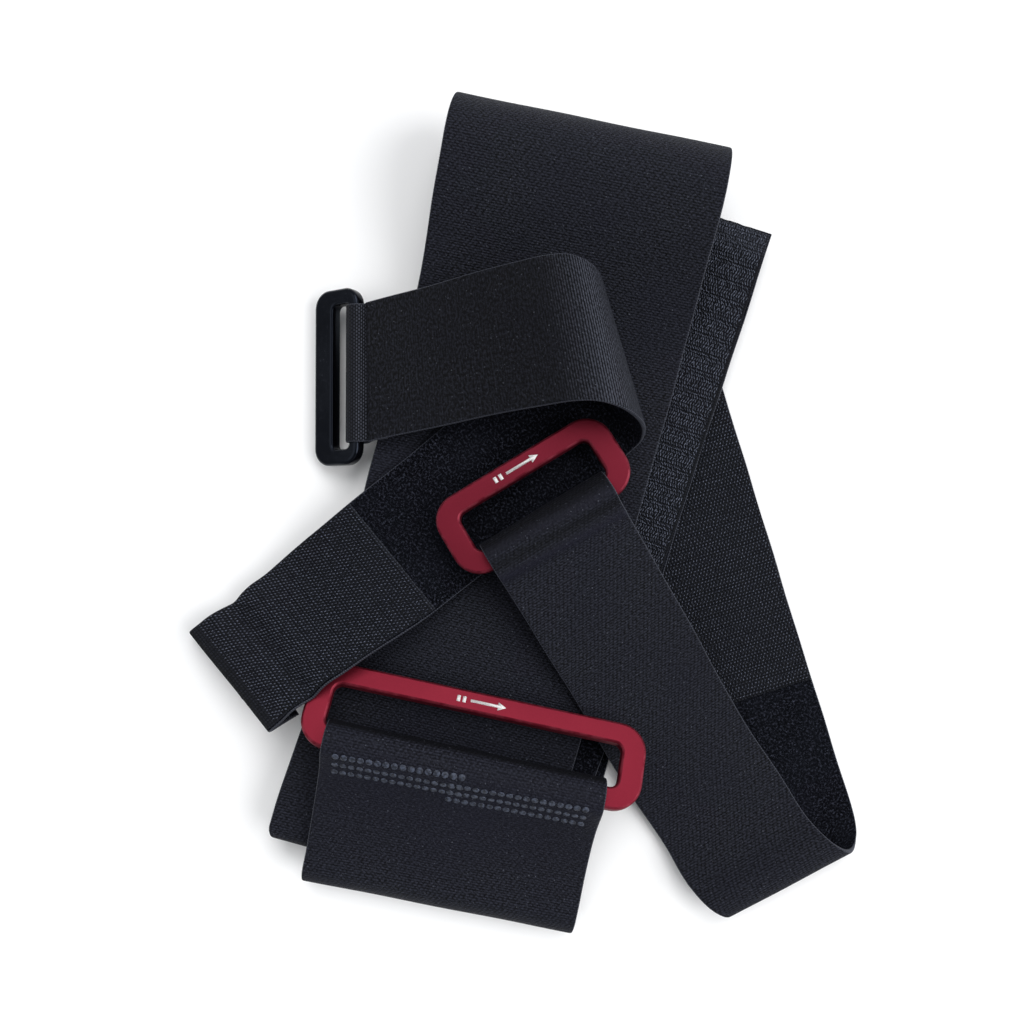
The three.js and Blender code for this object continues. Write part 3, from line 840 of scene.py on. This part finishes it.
def tab_paler_end(u, v):
    """The tab's weave is paler over its last centimetre, where it comes over the buckle's rail to the strap.
    """
    return np.clip((v - tab_strip.length + 12) / 2, 0, 1)


def end_worn(u, v):
    """The last centimetre of the table strap's hook tape is stiffer and paler."""
    return np.clip((v - table_strip.length + 11) / 3, 0, 1) * 0.9


table_strap = cloth("table_strap_cloth", table_strip, 0, table_strip.length, WIDE, WEB, LINING, pitch=2.4,
                    relief=slack, worn=table_press, painted_shade=table_shade, ragged=(0.3, 0.5), seed=3)
arm_strap = cloth("arm_strap_cloth", arm_strip, 0, arm_strip.length, NARROW, WEB, LINING, step=0.9, pitch=1.9,
                  relief=arm_relief, worn=arm_press, painted_shade=arm_shade, ragged=(0.3, 0.5), seed=4)
fold_foot, tail_hinge = cinch_strip.run_at(FOLD_FOOT), cinch_strip.run_at(TAIL_HINGE)
turn_under, cinch_end = cinch_strip.run_at(TURN_UNDER), cinch_strip.length
cinch_upper = cloth("cinch_strap_upper", cinch_strip, 0, fold_foot, NARROW, WEB, RIBBED_LINING, step=1.0,
                    pitch=1.9, relief=slack, ragged=(0.3, 0), caps=(EDGE_SLOT, BACK_SLOT), seed=6)
cinch_lower = cloth("cinch_strap_lower", cinch_strip, fold_foot, cinch_end, NARROW, WEB, RIBBED_LINING,
                    step=1.0, pitch=1.9, relief=tail_relief, ragged=(0, 0.4), caps=(BACK_SLOT, EDGE_SLOT),
                    seed=6)
tab = cloth("buckle_tab_tape", tab_strip, 0, tab_strip.length, TAB_WIDTH, TAB, [TAB_TAPE, TAB_TAPE, EDGE],
            step=0.6, pitch=1.6, worn=tab_paler_end, ragged=(0.4, 0.4), seed=8)

# Hook tapes: a thin backing on the plush side and rows of hooks on it
base_offset = -(WEB / 2 + HOOK_GAP + HOOK_BASE / 2)
hook_offset = base_offset - HOOK_BASE / 2 + 0.03
TABLE_HOOK_LENGTH = 148
ARM_HOOK_LENGTH = 138
PLAIN_BAND = 1.4  # smooth border along one side of the table strap's hook tape
TURNED_END = 3.6  # bare strip of hook tape where the cinch strap's tail turns under


def diagonal(u, v):
    """Headings of hooks that lean toward their neighbour in the next row."""
    return math.pi / 2 - 0.46 + 0.2 * np.sin(v / 9)


def wavy(u, v):
    """Headings of hooks that lean one way and then the other, in short waves."""
    return math.pi / 2 + 0.3 + 0.6 * np.sin(v / 1.15 + 0.1 * u)


def tape(name, strip, start, end, width, plain=0.8, lean=diagonal, reach_by=HOOK_LEAN, pitch=TAPE_PITCH,
         relief=slack, worn=None, bare_end=1, seed=11):
    """Backing and hooks between two runs. plain is the bare border on one side, and bare_end the bare end."""
    half = width / 2 - HOOK_INSET
    backing = cloth(name + "_backing", strip, start, end, 2 * half, HOOK_BASE, [BACKING] * 3,
                    offset=base_offset, relief=relief, worn=worn, ragged=(0.3, 0.5), seed=seed, pitch=2.2)
    tips = hooks(name + "_hooks", strip, start + 1, end - bare_end, -half + 0.8, half - plain, hook_offset,
                 lean, reach_by, pitch, relief, seed)
    return [backing, tips]


table_end, arm_end = table_strip.length, arm_strip.length
table_tape = tape("table_hook", table_strip, table_end - TABLE_HOOK_LENGTH, table_end - HOOK_INSET, WIDE,
                  PLAIN_BAND, wavy, LONG_LEAN, LONG_PITCH, worn=end_worn)
arm_tape = tape("arm_hook", arm_strip, arm_end - ARM_HOOK_LENGTH, arm_end - HOOK_INSET, NARROW, seed=12)
cinch_tape = tape("cinch_hook", cinch_strip, tail_hinge + HOOK_START, turn_under, NARROW, relief=tail_relief,
                  worn=tail_worn, bare_end=TURNED_END, seed=13)


def weld_dot(strip, u, v):
    """Points, faces and cloth layout of one small pressed dome. Its faces number its points from 0."""
    middle, across, face, _ = strip.at(v)
    along = np.cross(face, across)
    foot = middle + across * u + face * (WEB / 2 + slack(u, v) + WELD_LIFT)
    points, layout = [], []
    for size, lift in WELD_DOME:
        for j in range(WELD_SIDES):
            x, y = (WELD_RADIUS * size * way(math.tau * j / WELD_SIDES) for way in (math.cos, math.sin))
            points.append(foot + across * x + along * y + face * WELD_HEIGHT * lift)
            layout.append((u + x, v + y))
    faces = []
    for ring_start in (0, WELD_SIDES):
        for j in range(WELD_SIDES):
            low, low_next = ring_start + j, ring_start + (j + 1) % WELD_SIDES
            faces.append((low, low_next, low_next + WELD_SIDES, low + WELD_SIDES))
    faces.append(tuple(2 * WELD_SIDES + j for j in range(WELD_SIDES)))
    faces.append(tuple(reversed(range(WELD_SIDES))))
    return points, faces, layout


def weld_dots(name, strip, groups):
    """Rows of small pressed domes."""
    points, faces, layout = [], [], []
    for first, at, count in groups:
        for row in range(WELD_ROWS):
            for k in range(count):
                v = at + row * ROW_PITCH + WELD_TILT * k * DOT_PITCH
                dot_points, dot_faces, dot_layout = weld_dot(strip, first + k * DOT_PITCH, v)
                faces += [tuple(len(points) + i for i in face) for face in dot_faces]
                points += dot_points
                layout += dot_layout
    return make(name, points, faces, [WELD], layout)


table_welds = weld_dots("table_strap_welds", table_strip, WELD_GROUPS)

# Rings
red_profile = bevel_profile(RING_BEVEL, RING_THICK)


def red_ring(name, bar, length, material):
    """One of the two red rings, which share every measure but their length."""
    outline = (length, RING_WIDTH, RING_CORNER)
    slot = (length - 2 * RING_SIDE, RING_WIDTH - 2 * RING_RAIL, RING_SLOT_CORNER, 0)
    return ring(name, bar, outline, slot, RING_RAIL, red_profile, red_profile, material)


table_ring = red_ring("table_ring_red", TABLE_BAR, TABLE_RING_LONG, RED)
# The arm ring takes SHADED_RED, its red with painted shade.
arm_ring = red_ring("arm_ring_red", ARM_BAR, ARM_RING_LONG, SHADED_RED)
buckle_width = BUCKLE_RAIL / 2 + BUCKLE_REACH + BUCKLE_GRIP / 2
buckle_outline = (BUCKLE_LONG, buckle_width, BUCKLE_CORNER)
buckle_slot = (
    BUCKLE_SLOT, buckle_width - BUCKLE_RAIL - BUCKLE_GRIP, BUCKLE_SLOT_CORNER, (BUCKLE_RAIL - BUCKLE_GRIP) / 2
)
black_profile, lip_profile = round_profile(1.25, BUCKLE_THICK), round_profile(0.8, BUCKLE_THICK)
buckle_ring = ring("buckle_ring_black", BUCKLE_BAR, buckle_outline, buckle_slot, BUCKLE_RAIL,
                   black_profile, lip_profile, BLACK)

# A plain arrow and two bars stand for the printing on each red ring.
ARROW = [(6, 1.5), (9, 0), (6, -1.5), (6, -0.5), (-4, -0.5), (-4, 0.5), (6, 0.5)]
BARS = [[(x, -1.1), (x + 1.2, -1.1), (x + 1.2, 1.1), (x, 1.1)] for x in (-9, -6.9)]
far_rail = RING_WIDTH - RING_RAIL
table_mark = mark("table_ring_mark", TABLE_BAR, far_rail, RING_THICK / 2, [ARROW, *BARS])
arm_mark = mark("arm_ring_mark", ARM_BAR, far_rail, RING_THICK / 2, [ARROW, *BARS])

# What moves with what. The cinch strap bends in two places, round its tall fold and at the tail's hinge; here
# its pieces are only baked in place and attached to no body.
for piece in (table_strap, table_welds, arm_strap, *table_tape, *arm_tape):
    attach(piece, "pile")
for piece, body in (
    (tab, "flap"), (table_ring, "table_link"), (table_mark, "table_link"), (arm_ring, "arm_link"),
    (arm_mark, "arm_link"), (buckle_ring, "buckle"),
):
    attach(piece, body)
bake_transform(cinch_upper)
for piece in (cinch_lower, *cinch_tape):
    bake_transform(piece)

for piece, nodes, slot in (
    (table_strap, ["table_strap"], "webbing"), (arm_strap, ["arm_strap"], "webbing"),
    (cinch_upper, ["cinch_flap", "cinch_fold"], "webbing"),
    (cinch_lower, ["cinch_base", "cinch_tail"], "plush"),
    (tab, ["buckle_tab"], "hook_tape"), (table_tape[0], ["table_hook_tape"], "hook_tape"),
    (arm_tape[0], ["arm_hook_tape"], "hook_tape"), (cinch_tape[0], ["cinch_hook_tape"], "hook_tape"),
    (table_ring, ["table_ring"], "red_metal"), (arm_ring, ["arm_ring"], "red_metal"),
    (buckle_ring, ["buckle_ring"], "black_plastic"), (table_tape[1], [], "hook_tape"),
    (arm_tape[1], [], "hook_tape"), (cinch_tape[1], [], "hook_tape"),
    (table_mark, [], "red_metal"), (arm_mark, [], "red_metal"), (table_welds, [], "webbing"),
):
    if nodes:
        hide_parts(*nodes)

# Floor, light and camera
FLOOR_REACH = 40000  # far enough for its end to look like the horizon
FLOOR_LEVEL = -0.4
CAMERA_AT = (-3.6, -6.1, 359.95)
CAMERA_LENS = 33.33
CAMERA_TILT = 1  # degrees from looking straight down
corners = [(x * FLOOR_REACH, y * FLOOR_REACH, FLOOR_LEVEL) for x, y in ((-1, -1), (1, -1), (1, 1), (-1, 1))]
floor = make("floor", corners, [(0, 1, 2, 3)], [pale_floor()])


def soft_light(name, strength, spread, toward):
    """A wide, soft light from far away, coming from `toward`."""
    light = bpy.data.lights.new(name, "SUN")
    light.angle = math.radians(spread)
    light.energy = strength
    obj = bpy.data.objects.new(name, light)
    obj.rotation_euler = Vector(toward).to_track_quat("Z", "Y").to_euler()
    bpy.context.scene.collection.objects.link(obj)


soft_light("key", 2.1, 50, (0.95, -0.15, 0.75))
soft_light("top", 1.5, 40, (0.1, 0.65, 0.95))
soft_light("fill", 0.8, 60, (-0.8, 0.1, 0.9))


def studio_world():
    """Soft light all round, strongest low on the right and weak from straight above."""
    world = bpy.data.worlds.new("studio")
    world.use_nodes = True
    nodes, links = world.node_tree.nodes, world.node_tree.links
    background = next(n for n in nodes if n.type == "BACKGROUND")
    background.inputs["Color"].default_value = (0.93, 0.96, 1, 1)
    dim, bright = 0.2, 0.95
    spot, toward, level = (nodes.new("ShaderNode" + kind) for kind in ("TexCoord", "VectorMath", "MapRange"))
    toward.operation = "DOT_PRODUCT"
    toward.inputs[1].default_value = (0.3, 0.1, -0.8)
    for socket, number in zip(level.inputs[1:5], (-0.65, 0.3, dim, bright)):
        socket.default_value = number
    links.new(spot.outputs["Generated"], toward.inputs[0])
    links.new(toward.outputs["Value"], level.inputs[0])
    links.new(level.outputs[0], background.inputs["Strength"])
    bpy.context.scene.world = world


studio_world()
bpy.context.scene.view_settings.view_transform = "Standard"

camera = bpy.data.cameras.new("camera")
camera.sensor_width = 36
camera.lens = CAMERA_LENS
eye = bpy.data.objects.new("camera", camera)
eye.location = place(*CAMERA_AT)
eye.rotation_euler = Euler((math.radians(CAMERA_TILT), 0, 0))
bpy.context.scene.collection.objects.link(eye)
bpy.context.scene.camera = eye
